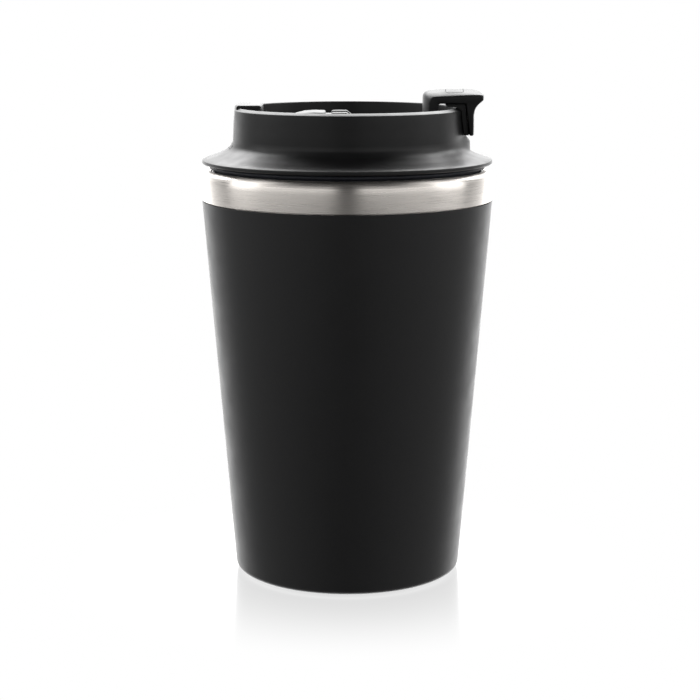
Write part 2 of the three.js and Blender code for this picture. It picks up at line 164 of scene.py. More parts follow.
def plan(x, half_x, half_y, corner, steps=8):
    """A rounded rectangle in plan, counterclockwise, centred on (x, 0)."""
    r = min(corner, 0.985 * half_x, 0.985 * half_y)  # a full half-round would double the points between arcs
    corners = [(x + half_x, -half_y), (x + half_x, half_y), (x - half_x, half_y), (x - half_x, -half_y)]
    return rounded([(*c, r) for c in corners], closed=True, steps=steps)


def dense(path, step):
    """A closed path with extra points, so that no stretch is longer than the step."""
    points = []
    for a, b in zip(path, [*path[1:], path[0]]):
        count = math.ceil((b - a).length / step)
        points += [a.lerp(b, k / count) for k in range(count)]
    return points


def rounded_edge(radius):
    """Cuts of a rounded top edge, from the side to the top: (in from the side, down from the top) each."""
    turns = [math.pi / 12 * k for k in range(7)]
    return [(radius * (1 - math.cos(t)), radius * (1 - math.sin(t))) for t in turns]


def spout_plan(grow):
    return plan(SPOUT_X, SPOUT_HALF_X + grow, SPOUT_HALF_Y + grow, SPOUT_HALF_X + grow)


# ---- Meshes -------------------------------------------------------------------------------------


def shade(mesh):
    mesh.shade_smooth()
    mesh.set_sharp_from_angle(angle=SHARP_ANGLE)


def make(name, points, faces):
    """A mesh object from points in millimetres."""
    mesh = bpy.data.meshes.new(name)
    mesh.from_pydata([Vector(p) * MM for p in points], [], faces)
    mesh.validate()
    mesh.update()
    shade(mesh)
    obj = bpy.data.objects.new(name, mesh)
    bpy.context.scene.collection.objects.link(obj)
    return obj


def skin(name, loops, ring=False):
    """Joins closed loops of equal length into one surface, capped at both ends unless they form a ring."""
    size = len(loops[0])
    points = [p for loop in loops for p in loop]
    faces = []
    for s in range(len(loops) if ring else len(loops) - 1):
        a, b = s * size, (s + 1) % len(loops) * size
        faces += [(a + i, a + (i + 1) % size, b + (i + 1) % size, b + i) for i in range(size)]
    if not ring:
        faces.append(tuple(reversed(range(size))))
        faces.append(tuple((len(loops) - 1) * size + i for i in range(size)))
    return outwards(make(name, points, faces))


def outwards(obj):
    """Turns the faces of a closed mesh outwards."""
    mesh = obj.data
    mesh.calc_loop_triangles()
    at = [v.co for v in mesh.vertices]
    volume = sum(at[a].dot(at[b].cross(at[c])) for a, b, c in (t.vertices for t in mesh.loop_triangles))
    if volume < 0:
        mesh.flip_normals()
    return obj


def stack(name, levels, ring=False):
    """A solid from plan outlines at rising heights: (outline, z) each."""
    return skin(name, [[(p.x, p.y, z) for p in outline] for outline, z in levels], ring)


def turned(name, path, x=0.0, segments=TURNS, ring=False):
    """Turns a path of (radius, z) about the vertical line through (x, 0)."""
    points, faces, rows = [], [], []
    turns = [2 * math.pi * k / segments for k in range(segments)]
    for r, z in path:
        first = len(points)
        if r < 1e-6:
            points.append((x, 0, z))
            rows.append([first] * segments)
        else:
            points += [(x + r * math.cos(t), r * math.sin(t), z) for t in turns]
            rows.append(list(range(first, first + segments)))
    pairs = list(zip(rows, rows[1:])) + ([(rows[-1], rows[0])] if ring else [])
    for low, high in pairs:
        for k in range(segments):
            n = (k + 1) % segments
            corners = dict.fromkeys((low[k], low[n], high[n], high[k]))
            if len(corners) > 2:
                faces.append(tuple(corners))
    return outwards(make(name, points, faces))


def slab(name, outline_at, half_y, edge, inner_stations):
    """A body through side outlines in X and Z, with its two side edges rounded."""
    steps = 4
    turns = [math.pi / 2 * k / steps for k in range(steps + 1)]
    outer = [(half_y - edge + edge * math.sin(t), edge * (1 - math.cos(t))) for t in turns]
    right = [(y, 0.0) for y in inner_stations] + outer
    stations = [(-y, cut) for y, cut in reversed(right) if y > 0] + right
    loops = [[(p.x, y, p.y) for p in inset(outline_at(y), cut)] for y, cut in stations]
    return skin(name, loops)


def bar(name, x, z, r, half_y, edge=0.0):
    """A round bar along Y, with its ends bevelled where an edge is given."""
    stations = [(-half_y, 0), (half_y, 0)]
    if edge:
        stations = [(-half_y, edge), (-half_y + edge, 0), (half_y - edge, 0), (half_y, edge)]
    turns = [2 * math.pi * k / SMALL_TURNS for k in range(SMALL_TURNS)]
    loops = []
    for y, cut in stations:
        loops.append([(x + (r - cut) * math.cos(t), y, z + (r - cut) * math.sin(t)) for t in turns])
    return skin(name, loops)


def post(name, x, r, z0, z1):
    return turned(name, [(0, z0), (r, z0), (r, z1), (0, z1)], x=x, segments=SMALL_TURNS)


def combine(obj, operation, *others):
    """Applies boolean operations, and removes the other objects."""
    for other in others:
        modifier = obj.modifiers.new(other.name, "BOOLEAN")
        modifier.operation = operation
        modifier.solver = "EXACT"
        modifier.object = other
    graph = bpy.context.evaluated_depsgraph_get()
    mesh = bpy.data.meshes.new_from_object(obj.evaluated_get(graph), depsgraph=graph)
    obj.modifiers.clear()
    obj.data = mesh
    shade(mesh)
    for other in others:
        bpy.data.objects.remove(other)
    return obj


# ---- Cup ----------------------------------------------------------------------------------------


def outer_shell(name):
    top = BAND_BOTTOM_Z - GAP / 2
    path = rounded(
        [
            (30.6, 0.5, 0.15),
            (body_r(0.5), 0.5, 1.8),
            (body_r(top), top, 0.12),
            (body_r(top) - STEEL, top, 0.12),
            (body_r(1.1) - STEEL, 1.1, 1.2),
            (30.6, 1.1, 0.15),
        ],
        closed=True,
        steps=8,
    )
    return turned(name, path, ring=True)


def base_cap(name):
    rim_r, pad_r = 30.3, 28.4
    path = rounded(
        [
            (0, 1.5),
            (pad_r, 1.5, 0.1),
            (pad_r, 0.7, 0.15),
            (rim_r, 0.7, 0.4),
            (rim_r, 2.6, 0.1),
            (0, 2.6),
        ]
    )
    return turned(name, path)


def base_pad(name):
    """The contact ring carries fine concentric grooves."""
    pad_r, recess_z, top = 28.1, 0.4, 1.2
    first_groove_r, groove_step, groove_z = 19.5, 2.2, 0.25
    grooves = []
    for k in range(4):
        r = first_groove_r + groove_step * k
        grooves += [(r - 0.35, 0, 0.1), (r - 0.2, groove_z), (r + 0.2, groove_z), (r + 0.35, 0, 0.1)]
    path = rounded(
        [
            (0, recess_z),
            (17, recess_z, 0.2),
            (17.6, 0, 0.25),
            *grooves,
            (pad_r - 0.35, 0, 0.3),
            (pad_r, recess_z, 0.3),
            (pad_r, top, 0.1),
            (0, top),
        ]
    )
    return turned(name, path)


def rim_band(name):
    """A tongue inside the body's wall, the bare band above it and a lip rolled inwards."""
    tongue_z = 107
    tongue_r = body_r(tongue_z) - STEEL - GAP
    bottom = BAND_BOTTOM_Z + GAP / 2
    lip_start = (42.7, 118.2)
    outside = rounded(
        [
            (tongue_r, tongue_z),
            (tongue_r + 0.3, bottom),
            (body_r(bottom), bottom, 0.15),
            (42.75, 116.5),
            lip_start,
        ]
    )
    lip = smooth([lip_start, (42.3, 119.2), (41.6, 119.9), (40.9, BAND_TOP_Z), (40.3, 120.1), (39.9, 119.6)])
    inside = [(39.9, 112), (tongue_r - STEEL, 111), (tongue_r - STEEL, tongue_z)]
    return turned(name, [*outside[:-1], *lip, *inside], ring=True)


def inner_liner(name):
    top = BAND_TOP_Z - 0.5
    path = rounded(
        [
            (0, LINER_FLOOR_Z),
            (liner_r(LINER_FLOOR_Z), LINER_FLOOR_Z, 8),
            (MOUTH_R, LINER_STRAIGHT_Z),
            (MOUTH_R, top, 0.25),
            (MOUTH_R + STEEL, top, 0.25),
            (MOUTH_R + STEEL, LINER_STRAIGHT_Z),
            (liner_r(LINER_FLOOR_Z - STEEL) + STEEL, LINER_FLOOR_Z - STEEL, 8.5),
            (0, LINER_FLOOR_Z - STEEL),
        ],
        steps=10,
    )
    return turned(name, path)


# ---- Lid ----------------------------------------------------------------------------------------


def rest_block(name):
    """Below the deck only the outer part of the block is left: its inner part stands on the deck."""
    foot_r, half_y, corner, bottom = RING_INNER_R + 0.6, 20, 0.01, 120
    outline = plan(0, foot_r, half_y, corner)
    under = stack(name + ".under", [(outline, z) for z in (bottom, DECK_Z + GAP)])
    return combine(rest_solid(name), "DIFFERENCE", under)


def rest_solid(name):
    """A block with rounded top edges, trimmed to the round of the ring wall and with a small toe outside."""
    foot_z = 126.4
    levels = [(rest_plan(REST_INNER_X, REST_HALF_Y), foot_z)]
    for cut, drop in rounded_edge(0.6):
        levels.append((rest_plan(REST_INNER_X - cut, REST_HALF_Y - cut), REST_TOP_Z - drop))
    outer = rounded(
        [
            (0, 120),
            (34.45, 120),
            (34.45, foot_z),
            (33.95, 127.2, 0.4),
            (33.35, 128.2, 0.6),
            (33.2, 131.4),
            (33.0, 134.8),
            (32.6, REST_TOP_Z, 0.9),
            (0, REST_TOP_Z + 0.01),
        ]
    )
    return combine(stack(name, levels), "INTERSECT", turned(name + ".outer", outer))


def rest_plan(inner_x, half_y):
    """Plan of the block or its notch, which reaches well past the ring wall and is trimmed afterwards."""
    far_x = -40
    return plan((inner_x + far_x) / 2, (inner_x - far_x) / 2, half_y, REST_CORNER)


def rest_notch(name):
    """The tool for the block's notch: open on the outside, and flared at the top of the ring."""
    foot_z, flare = 126.1, 0.5
    flare_top = RING_TOP_Z + 0.05

    def level(grow, z):
        return rest_plan(REST_INNER_X + GAP, REST_HALF_Y + GAP + grow), z

    flares = [level(grow, flare_top - drop) for grow, drop in rounded_edge(flare)]
    levels = [level(0, foot_z), *flares, level(flare, RING_TOP_Z + 3)]
    outer = [
        (0, 120),
        (34.75, 120),
        (34.75, foot_z),
        (34.25, 127.2),
        (33.65, 128.2),
        (36.2, 131.4),
        (36.2, 142),
        (0, 142),
    ]
    return combine(stack(name, levels), "INTERSECT", turned(name + ".outer", outer))


def ease(value, low, high):
    """Smooth step from 0 to 1 between two values."""
    t = max(0.0, min(1.0, (value - low) / (high - low)))
    return t * t * (3 - 2 * t)


def swell(obj):
    """Swells the wall and the cove at +X, under the lever's tab: a low shelf, and above it a slight flare."""
    shelf_r, flare, spread = 35.85, 0.14, 12.0
    inner_r, bottom, top = 33, 125, 137
    shelf_top, flare_start = 127.9, 130.0
    for vertex in obj.data.vertices:
        x, y, z = vertex.co / MM
        r = math.hypot(x, y)
        if r < inner_r or z < bottom or z > top:
            continue
        above = ease(z, shelf_top, flare_start)
        rise = (1 - above) * max(0, shelf_r - r) + above * flare * (top - z)
        share = rise / r * math.exp(-((math.degrees(math.atan2(y, x)) / spread) ** 2))
        vertex.co.x *= 1 + share
        vertex.co.y *= 1 + share
    return obj


def wall_outside():
    """Outside of the ring wall, up to the lower edge of its sloping top."""
    return [(33.55, 130.0), (RING_OUTER_R, 131.5), (33.3, 134.8), (33.25, 137.25)]


def lid_cover(name):
    cove = smooth(
        [
            (41.3, 123.3),
            (39.6, 123.85),
            (38.2, 124.35),
            (37.1, 124.85),
            (36.1, 125.35),
            (35.0, 126.0),
            (34.2, 126.75),
            (33.75, 127.6),
            (33.6, 128.6),
            (33.57, 129.3),
            *wall_outside()[:2],
        ]
    )
    flange = rounded(
        [
            (0, DECK_UNDER_Z),
            (28, DECK_UNDER_Z),
            (31, 124.5),
            (34, 123.8),
            (38.1, CHUTE_TOP_Z),
            (38.3, FLANGE_UNDER_Z),
            (41.9, FLANGE_UNDER_Z, 0.2),
            (42.3, 122.1, 0.2),
            (42.3, 122.85, 0.3),
            (41.3, 123.3),
        ]
    )
    ring = rounded(
        [
            (33.3, 134.8),
            (33.25, 137.25, 0.3),
            (31.6, RING_TOP_Z + 0.02, 0.4),
            (RING_INNER_R, 137.6, 0.25),
            (RING_INNER_R - 0.2, 130, 2),
            (30.2, DECK_Z, 2.5),
            (0, DECK_Z),
        ]
    )
    cover = swell(turned(name, [*flange[:-1], *cove, *ring]))
    return combine(cover, "DIFFERENCE", *deck_tools(name), rest_notch(name + ".notch"))


def deck_tools(name):
    """The tools for the deck's drinking hole and vent hole, both flared at the top."""
    spout_levels = [(0, 120), (0, 126.4), (0.08, 126.7), (0.3, 126.92), (0.6, DECK_Z), (0.6, 130)]
    spout = stack(name + ".spout", [(spout_plan(grow), z) for grow, z in spout_levels])
    vent_levels = [(0, 120), (0, 126.5), (0.1, 126.8), (0.4, DECK_Z), (0.4, 130)]
    vent_path = [(0, 120), *[(VENT_R + grow, z) for grow, z in vent_levels], (0, 130)]
    odd = SMALL_TURNS + 1  # so that no corner lies on an edge of the deck's faces
    return [spout, turned(name + ".vent", vent_path, x=VENT_X, segments=odd)]


def lid_plug(name):
    top = CHUTE_TOP_Z - GAP
    floor = PLUG_FLOOR_Z + PLUG_WALL
    skirt_r, groove_r = 37.7, 36.6
    tub = rounded(
        [
            (0, PLUG_FLOOR_Z),
            (skirt_r, PLUG_FLOOR_Z, 1.2),
            (skirt_r, 113.2, 0.15),
            (groove_r, 113.2, 0.2),
            (groove_r, 119.9, 0.2),
            (skirt_r, 119.9, 0.15),
            (skirt_r, top),
            (34.8, top),
            (34.8, floor, 1),
            (0, floor),
        ]
    )
    plug = turned(name, tub)
    foot = PLUG_FLOOR_Z + 0.5  # inside the floor, so that the two join
    chute = stack(name + ".chute", [(spout_plan(CHUTE_WALL), z) for z in (foot, CHUTE_TOP_Z)])
    tube = post(name + ".tube", VENT_X, VENT_R + CHUTE_WALL, foot, CHUTE_TOP_Z)
    combine(plug, "UNION", chute, tube)
    below, above = 100, 130
    bore = stack(name + ".bore", [(spout_plan(0), z) for z in (below, above)])
    return combine(plug, "DIFFERENCE", bore, post(name + ".vent", VENT_X, VENT_R, below, above))


def lid_gasket(name):
    inner_r, sleeve_r, lip_r = 36.9, 37.8, MOUTH_R - GAP
    corners = [(inner_r, 113.5, 0.15)]
    for z in (114, 116.8):
        corners += [(sleeve_r, z, 0.3), (lip_r, z + 0.9, 0.12)]
        corners += [(lip_r, z + 1.2, 0.12), (sleeve_r, z + 1.15, 0.2)]
    corners += [(sleeve_r, 119.6, 0.2), (inner_r, 119.6, 0.2)]
    return turned(name, rounded(corners, closed=True), ring=True)


def rim_seal(name):
    """A collar that stands on the band's lip, with a short skirt inside it."""
    inner_r, skirt_z, z = 38.0, 119.6, BAND_TOP_Z + GAP
    corners = [
        (inner_r, skirt_z),
        (38.6, skirt_z, 0.1),
        (38.7, z),
        (40.0, z, 0.2),
        (40.35, z + 0.5, 0.25),
        (40.1, z + 1, 0.1),
        (inner_r, z + 1),
    ]
    return turned(name, rounded(corners, closed=True), ring=True)


def seal_section():
    """Section of the flat seals round the chute and the vent tube: (growth, z) corners."""
    bottom, top = CHUTE_TOP_Z + GAP, DECK_UNDER_Z - GAP
    return [(0.2, bottom), (CHUTE_WALL, bottom), (CHUTE_WALL, top), (0.2, top)]


def spout_seal(name):
    return stack(name, [(spout_plan(grow), z) for grow, z in seal_section()], ring=True)


def vent_seal(name):
    path = [(VENT_R + grow, z) for grow, z in seal_section()]
    return turned(name, path, x=VENT_X, segments=SMALL_TURNS, ring=True)


def hinge_bracket(name):
    """A hump with room for the lever's swing, and the tongue that carries the pin."""
    foot = DECK_Z + GAP
    outline = rounded(
        [
            (-17.0, foot),
            (-6.3, foot),
            (-6.3, 136.7, 0.5),
            (-9.5, 136.8, 3),
            (-12.5, 136.6, 3),
            (-16.2, 135.7, 2.2),
            (-17.0, 132.5, 1.5),
        ],
        closed=True,
    )
    hump = slab(name, lambda y: outline, LEVER_HALF_Y - 0.2, 0.8, [0])
    tongue_r, corner, root_x = 1.9, 1.85, -8
    end_x, low, high = PIVOT[0] + tongue_r, PIVOT[1] - tongue_r, PIVOT[1] + tongue_r
    tongue_corners = [(root_x, low), (end_x, low, corner), (end_x, high, corner), (root_x, high)]
    tongue_outline = rounded(tongue_corners, closed=True, steps=8)
    tongue = slab(name + ".tongue", lambda y: tongue_outline, TONGUE_HALF_Y, 0.2, [0])
    combine(hump, "DIFFERENCE", bar(name + ".swing", *PIVOT, SWING_R, 10))
    combine(hump, "UNION", tongue)
    return combine(hump, "DIFFERENCE", bar(name + ".bore", *PIVOT, PIN_R + PIN_PLAY, 10))


def hinge_pin(name):
    return bar(name, *PIVOT, PIN_R, LEVER_HALF_Y - 0.5, edge=0.2)


# ---- Lever --------------------------------------------------------------------------------------


def crown_drop(y):
    return LEVER_CROWN * (y / LEVER_HALF_Y) ** 2


def hook_skin(x, y):
    """Height of the hook's skin: the ridge falls away on both sides of a crest, and the edges rise evenly."""
    crest_x = 31.5
    rear_fall, rear_reach = 0.35, 7.1
    lip_fall, lip_reach = 1.7, 8.1
    edge_z, edge_slope, edge_start_x, edge_end_x = 141.08, 0.053, 24.35, 36.7
    if x < crest_x:
        fall = rear_fall * ((crest_x - x) / rear_reach) ** 2
    else:
        fall = lip_fall * ((x - crest_x) / lip_reach) ** 4
    ridge = HOOK_TOP_Z - fall
    edge = edge_z + edge_slope * (min(x, edge_end_x) - edge_start_x)
    return ridge + (edge - ridge) * (y / LEVER_HALF_Y) ** 2


def lever_outline(y):
    """Side outline at a distance from the middle plane: the skin is lower and narrower towards the edges."""
    drop = crown_drop(y)
    side = 0.35 * drop
    leg_x = HOOK_LEG_X + drop
    lip_x = LIP_X - side
    tab_x = TAB_OUTER_X - side
    arm_z = 133 - side
    skin_x = [x - side for x in (26.4, 28, 30, 32, 34, 35.5, 36.8, 37.8, 38.6)]
    under_lip = smooth([(lip_x - 0.6, 139.65), (lip_x - 1.5, 138.85), (tab_x + 0.35, 137.6), (tab_x, 136.0)])
    points = [
        (-4.8, 136.7, 0.9),
        (-0.1, 136.7, 0.6),
        (1.3, 135.5, 0.8),
        (2.1, arm_z, 0.6),
        (4.0, arm_z),
        (19.6, arm_z - 0.3),
        (leg_x, arm_z - 0.3, 1.2),
        (leg_x, hook_skin(leg_x, y), 1.9),
        *[(x, hook_skin(x, y)) for x in skin_x],
        (lip_x, hook_skin(lip_x, y) - 0.1, 0.4),
        (lip_x, 140.2, 0.4),
        *[tuple(p) for p in under_lip],
        (tab_x, TAB_TIP_Z, 0.45),
        (TAB_TIP_X, TAB_TIP_Z, 0.4),
        (HOOK_MOUTH_X[1], HOOK_UNDER_Z, 0.3),
        (HOOK_MOUTH_X[0], HOOK_UNDER_Z, 0.5),
        (HOOK_MOUTH_X[0], ARM_UNDER_Z, 0.6),
        (3.0, ARM_UNDER_Z),
        (0.2, 130.3, 2),
        (-2.6, 130.8, 2),
        (-4.2, 131.7, 1),
        (-4.8, 133.0, 1),
    ]
    return list(reversed(rounded(points, closed=True)))


def lever_arm(name):
    arm = slab(name, lever_outline, LEVER_HALF_Y, 0.35, [0, 1.4, 2.8, 4.2, 5.6])
    x0, x1 = INSERT_X
    slot_plan = plan(-3.85, 6.15, TONGUE_HALF_Y + GAP, 0.6)
    pocket = plan((x0 + x1) / 2, (x1 - x0) / 2 + SEAM, INSERT_HALF_Y + SEAM, 1 + SEAM)
    tools = [
        stack(name + ".slot", [(slot_plan, 120), (slot_plan, 145)]),
        bar(name + ".bore", *PIVOT, PIN_R + PIN_PLAY, 10),
        stack(name + ".pocket", [(pocket, HOOK_UNDER_Z - 1), (pocket, 150)]),
        post(name + ".spout_socket", SPOUT_X, 1.5 + GAP, 120, 132),
        post(name + ".vent_socket", VENT_X, 1.0 + GAP, 120, 131.9),
    ]
    return combine(arm, "DIFFERENCE", *tools)


def hook_insert(name):
    """The head shows on top of the hook, the foot sits on the ring wall and the lining runs down the tab."""
    x0, x1 = INSERT_X
    middle = Vector(((x0 + x1) / 2, 0))
    foot_z, foot_top = RING_TOP_Z + 0.2, HOOK_UNDER_Z - SEAM
    head_plan = dense(plan(middle.x, (x1 - x0) / 2, INSERT_HALF_Y, 1, steps=5), 0.5)

    def head_loop(down, cut=0.0, scale=1.0):
        spots = [middle + (p - middle) * scale for p in inset(head_plan, cut)]
        return [(p.x, p.y, hook_skin(p.x, p.y) - down) for p in spots]

    loops = [[(p.x, p.y, foot_z + 0.4) for p in head_plan], head_loop(0.3), head_loop(0.1)]
    loops += [head_loop(0.04, 0.02), head_loop(0.01, 0.08)]
    loops += [head_loop(0.0, 0.15, scale) for scale in (1, 0.8, 0.6, 0.4, 0.2, 0.05)]
    side = rounded(
        [
            (FOOT_X, 137.6),
            (31.6, 137.6),
            (33.0, TAB_TIP_Z + 0.05),
            (TAB_TIP_X - SEAM, TAB_TIP_Z + 0.05, 0.15),
            (HOOK_MOUTH_X[1] - SEAM, foot_top, 0.3),
            (FOOT_X, foot_top, 0.25),
        ],
        closed=True,
    )
    foot = slab(name + ".foot", lambda y: side, LINING_HALF_Y, 0.1, [0])
    wall = [(r + LINING_GAP, z) for r, z in [(33.7, 126), *wall_outside()]]
    ring = [(0, 126), *wall, (31.7, foot_z), (0, foot_z)]
    combine(foot, "DIFFERENCE", swell(turned(name + ".ring", ring)))
    return combine(skin(name, loops), "UNION", foot)


def spout_plug(name):
    def seat(half_x, half_y):
        return plan(SPOUT_X, half_x, half_y, 4)

    stem = plan(SPOUT_X, 1.5, 1.5, 1.5)
    under, over = DECK_Z + GAP, ARM_UNDER_Z - GAP
    levels = [(spout_plan(-1.7), 125.3), (spout_plan(-1.35), 125.4), (spout_plan(-1.1), 125.75)]
    levels += [(spout_plan(-0.8), 126.3), (spout_plan(-0.62), under)]
    levels += [(seat(3.9, 5.9), under), (seat(4.12, 6.12), under + 0.1), (seat(4.2, 6.2), under + 0.35)]
    levels += [(seat(4.2, 6.2), over - 0.35), (seat(4.12, 6.12), over - 0.1), (seat(3.9, 5.9), over)]
    levels += [(stem, over), (stem, 131.4), (plan(SPOUT_X, 1.25, 1.25, 1.25), 131.7)]
    return stack(name, levels)


def vent_plug(name):
    top = ARM_UNDER_Z - GAP
    path = rounded(
        [
            (0, 126.2),
            (0.85, 126.2, 0.35),
            (1.1, DECK_Z + GAP),
            (2.6, DECK_Z + GAP, 0.25),
            (2.8, top, 0.3),
            (1.0, top),
            (1.0, 131.6, 0.2),
            (0, 131.6),
        ]
    )
    return turned(name, path, x=VENT_X, segments=SMALL_TURNS)


# ---- Materials ----------------------------------------------------------------------------------


NOISE_LOW, NOISE_HIGH = 0.3, 0.7  # most of a noise's values lie between these


class Finish:
    """One procedural material, whose nodes are added step by step."""

    def __init__(self, name, colour, **sockets):
        self.material = bpy.data.materials.new(name)
        self.material.use_nodes = True
        self.tree = self.material.node_tree
        self.shader = self.tree.nodes["Principled BSDF"]
        self.shader.inputs["Base Color"].default_value = (*colour, 1)
        for socket, value in sockets.items():
            self.shader.inputs[socket.replace("_", " ")].default_value = value
        self.place = self.node("ShaderNodeTexCoord").outputs["Object"]
        self.height = None

    def node(self, kind, inputs=None, **settings):
        made = self.tree.nodes.new(kind)
        for setting, value in settings.items():
            setattr(made, setting, value)
        for socket, value in (inputs or {}).items():
            if isinstance(value, bpy.types.NodeSocket):
                self.tree.links.new(value, made.inputs[socket])
            else:
                made.inputs[socket].default_value = value
        return made

    def noise(self, size_mm, detail=2.0, place=None):
        """Noise whose features are about this size."""
        inputs = {"Vector": place or self.place, "Scale": 1 / (size_mm * MM), "Detail": detail}
        return self.node("ShaderNodeTexNoise", inputs).outputs["Fac"]

    def cells(self, size_mm):
        inputs = {"Vector": self.place, "Scale": 1 / (size_mm * MM)}
        return self.node("ShaderNodeTexVoronoi", inputs).outputs["Distance"]

    def vary(self, socket, value, low, high):
        """Drives a socket between two numbers with a pattern."""
        span = {"From Min": NOISE_LOW, "From Max": NOISE_HIGH, "To Min": low, "To Max": high}
        ramp = self.node("ShaderNodeMapRange", {"Value": value, **span})
        self.tree.links.new(ramp.outputs["Result"], self.shader.inputs[socket])
        return self

    def tint(self, value, dark, light, start=NOISE_LOW, end=NOISE_HIGH):
        """Runs the base colour from dark to light with a pattern."""
        ramp = self.node("ShaderNodeValToRGB", {"Fac": value})
        low, high = ramp.color_ramp.elements
        low.position, low.color = start, (*dark, 1)
        high.position, high.color = end, (*light, 1)
        self.tree.links.new(ramp.outputs["Color"], self.shader.inputs["Base Color"])
        return self

    def bump(self, value, depth_um):
        """Adds relief of this depth to what is there already."""
        inputs = {"Height": value, "Distance": depth_um * 1e-6, "Strength": 1.0}
        if self.height is not None:
            inputs["Normal"] = self.height
        self.height = self.node("ShaderNodeBump", inputs).outputs["Normal"]
        self.tree.links.new(self.height, self.shader.inputs["Normal"])
        return self

    def round_the_axis(self, along, across_mm):
        """A place whose pattern runs in long streaks round the vertical axis."""
        split = self.node("ShaderNodeSeparateXYZ", {0: self.place})
        flat = self.node("ShaderNodeCombineXYZ", {"X": split.outputs["X"], "Y": split.outputs["Y"]})
        unit = self.node("ShaderNodeVectorMath", {0: flat.outputs[0]}, operation="NORMALIZE")
        wide = self.node("ShaderNodeVectorMath", {0: unit.outputs[0], "Scale": along}, operation="SCALE")
        steep = {0: split.outputs["Z"], 1: 1 / (across_mm * MM)}
        rise = self.node("ShaderNodeMath", steep, operation="MULTIPLY")
        up = self.node("ShaderNodeCombineXYZ", {"Z": rise.outputs[0]})
        both = {0: wide.outputs[0], 1: up.outputs[0]}
        return self.node("ShaderNodeVectorMath", both, operation="ADD").outputs[0]


def body_coating():
    finish = Finish("body_coating", (0.008, 0.008, 0.0087), Roughness=0.42, IOR=1.45, Specular_IOR_Level=0.35)
    finish.vary("Roughness", finish.noise(7, detail=3), 0.39, 0.45)
    finish.tint(finish.noise(0.5), (0.0070, 0.0070, 0.0076), (0.0090, 0.0089, 0.0093))
    return finish.bump(finish.noise(0.45, detail=1), 4).bump(finish.noise(0.16, detail=1), 1.5)


def moulded(name, colour, grain_um):
    finish = Finish(name, colour, Roughness=0.42, IOR=1.48, Specular_IOR_Level=0.3)
    finish.vary("Roughness", finish.noise(5, detail=3), 0.38, 0.46)
    finish.tint(finish.noise(3, detail=4), [0.85 * c for c in colour], [1.15 * c for c in colour])
    return finish.bump(finish.noise(0.22, detail=2), grain_um).bump(finish.cells(0.4), 1)


def brushed_steel(name, colour, roughness, line_mm, depth_um):
    grain = {"Anisotropic": 0.9, "Anisotropic_Rotation": 0.25}
    finish = Finish(name, colour, Metallic=1.0, Roughness=roughness, **grain)
    tangent = finish.node("ShaderNodeTangent", direction_type="RADIAL", axis="Z")
    finish.tree.links.new(tangent.outputs[0], finish.shader.inputs["Tangent"])
    lines = finish.round_the_axis(3.0, line_mm)
    streaks = finish.node("ShaderNodeTexNoise", {"Vector": lines, "Scale": 1.0, "Detail": 3.0}).outputs["Fac"]
    finish.vary("Roughness", streaks, roughness - 0.07, roughness + 0.07)
    finish.tint(streaks, [0.93 * c for c in colour], [1.04 * c for c in colour], 0.25, 0.75)
    return finish.bump(streaks, depth_um)


def drawn_steel():
    finish = Finish("steel_wall", (0.60, 0.58, 0.56), Metallic=1.0, Roughness=0.28)
    lines = finish.round_the_axis(2.0, 0.25)
    streaks = finish.node("ShaderNodeTexNoise", {"Vector": lines, "Scale": 1.0, "Detail": 2.0}).outputs["Fac"]
    finish.vary("Roughness", streaks, 0.22, 0.34)
    return finish.bump(streaks, 1.2)


def silicone(name, colour, roughness):
    finish = Finish(name, colour, Roughness=roughness, IOR=1.41, Specular_IOR_Level=0.5, Sheen_Weight=0.05)
    finish.vary("Roughness", finish.noise(2, detail=3), roughness - 0.05, roughness + 0.05)
    finish.tint(finish.noise(1.2, detail=3), [0.85 * c for c in colour], [1.2 * c for c in colour])
    return finish.bump(finish.noise(0.3, detail=2), 3)


def plain_metal(name, colour, roughness, grain_mm):
    finish = Finish(name, colour, Metallic=1.0, Roughness=roughness)
    finish.vary("Roughness", finish.noise(grain_mm * 4, detail=3), roughness - 0.06, roughness + 0.08)
    return finish.bump(finish.noise(grain_mm), 1.5)


def port_glass():
    finish = Finish("port_glass", (0.10, 0.065, 0.04), Roughness=0.3, IOR=1.6)
    finish.vary("Roughness", finish.noise(1.0), 0.2, 0.4)
    finish.tint(finish.noise(0.8, detail=3), (0.07, 0.045, 0.03), (0.14, 0.09, 0.055))
    return finish.bump(finish.noise(0.5), 8)


FINISHES = {
    "body_coating": body_coating(),
    "brushed_rim": brushed_steel("brushed_rim", (0.72, 0.68, 0.64), roughness=0.3, line_mm=0.09, depth_um=1),
    "steel_wall": drawn_steel(),
    "steel_pin": plain_metal("steel_pin", (0.56, 0.55, 0.54), roughness=0.28, grain_mm=0.3),
    "lid_plastic": moulded("lid_plastic", (0.0045, 0.0045, 0.0048), grain_um=2.5),
    "lid_silicone": silicone("lid_silicone", (0.013, 0.015, 0.021), roughness=0.5),
    "pad_silicone": silicone("pad_silicone", (0.016, 0.016, 0.018), roughness=0.62),
    "port_glass": port_glass(),
    "getter_metal": plain_metal("getter_metal", (0.36, 0.36, 0.38), roughness=0.45, grain_mm=0.4),
}

